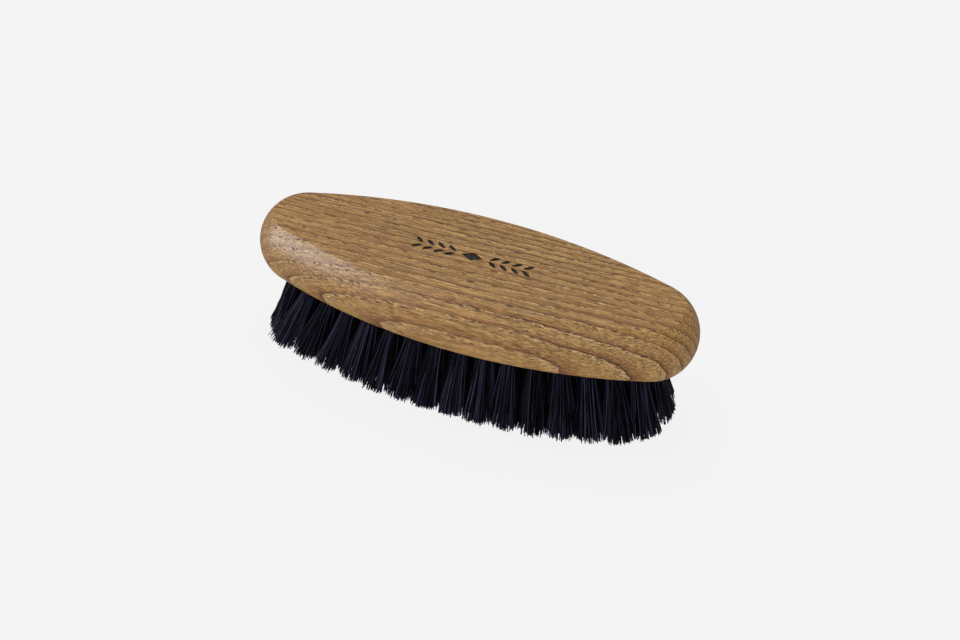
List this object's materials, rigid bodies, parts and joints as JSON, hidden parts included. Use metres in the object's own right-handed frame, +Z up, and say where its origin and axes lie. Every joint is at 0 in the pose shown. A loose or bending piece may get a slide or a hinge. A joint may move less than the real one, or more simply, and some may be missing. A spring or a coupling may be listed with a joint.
{
  "type": "beard brush",
  "caption": "Oval hardwood beard brush: a rounded block with a flat top and a low, dense bed of dark bristle tufts splayed outward below it.",
  "frame": {"origin": "bottom centre of the whole brush: the plane of the trimmed bristle tips, under the middle of the block", "axes": "+X along the brush's length, +Y across it, +Z up through the block and out of its flat top"},
  "size_m": [0.1202, 0.046, 0.0356],
  "materials": {
    "wood": "oiled, warm brown, open straight grain",
    "bristle": "near-black natural bristle with a soft sheen",
    "anchor_metal": "flat drawn wire, plain"
  },
  "bodies": {
    "root": {"wood_block": "wood", "tuft_outer_01": "bristle", "tuft_outer_02": "bristle", "tuft_outer_03": "bristle", "tuft_outer_04": "bristle", "tuft_outer_05": "bristle", "tuft_outer_06": "bristle", "tuft_outer_07": "bristle", "tuft_outer_08": "bristle", "tuft_outer_09": "bristle", "tuft_outer_10": "bristle", "tuft_outer_11": "bristle", "tuft_outer_12": "bristle", "tuft_outer_13": "bristle", "tuft_outer_14": "bristle", "tuft_outer_15": "bristle", "tuft_outer_16": "bristle", "tuft_outer_17": "bristle", "tuft_outer_18": "bristle", "tuft_outer_19": "bristle", "tuft_outer_20": "bristle", "tuft_outer_21": "bristle", "tuft_outer_22": "bristle", "tuft_outer_23": "bristle", "tuft_outer_24": "bristle", "tuft_outer_25": "bristle", "tuft_outer_26": "bristle", "tuft_outer_27": "bristle", "tuft_outer_28": "bristle", "tuft_outer_29": "bristle", "tuft_outer_30": "bristle", "tuft_outer_31": "bristle", "tuft_outer_32": "bristle", "tuft_outer_33": "bristle", "tuft_outer_34": "bristle", "tufts_middle": "bristle", "tufts_centre": "bristle", "anchors_outer": "anchor_metal", "anchors_middle": "anchor_metal", "anchors_centre": "anchor_metal"}
  },
  "joints": []
}
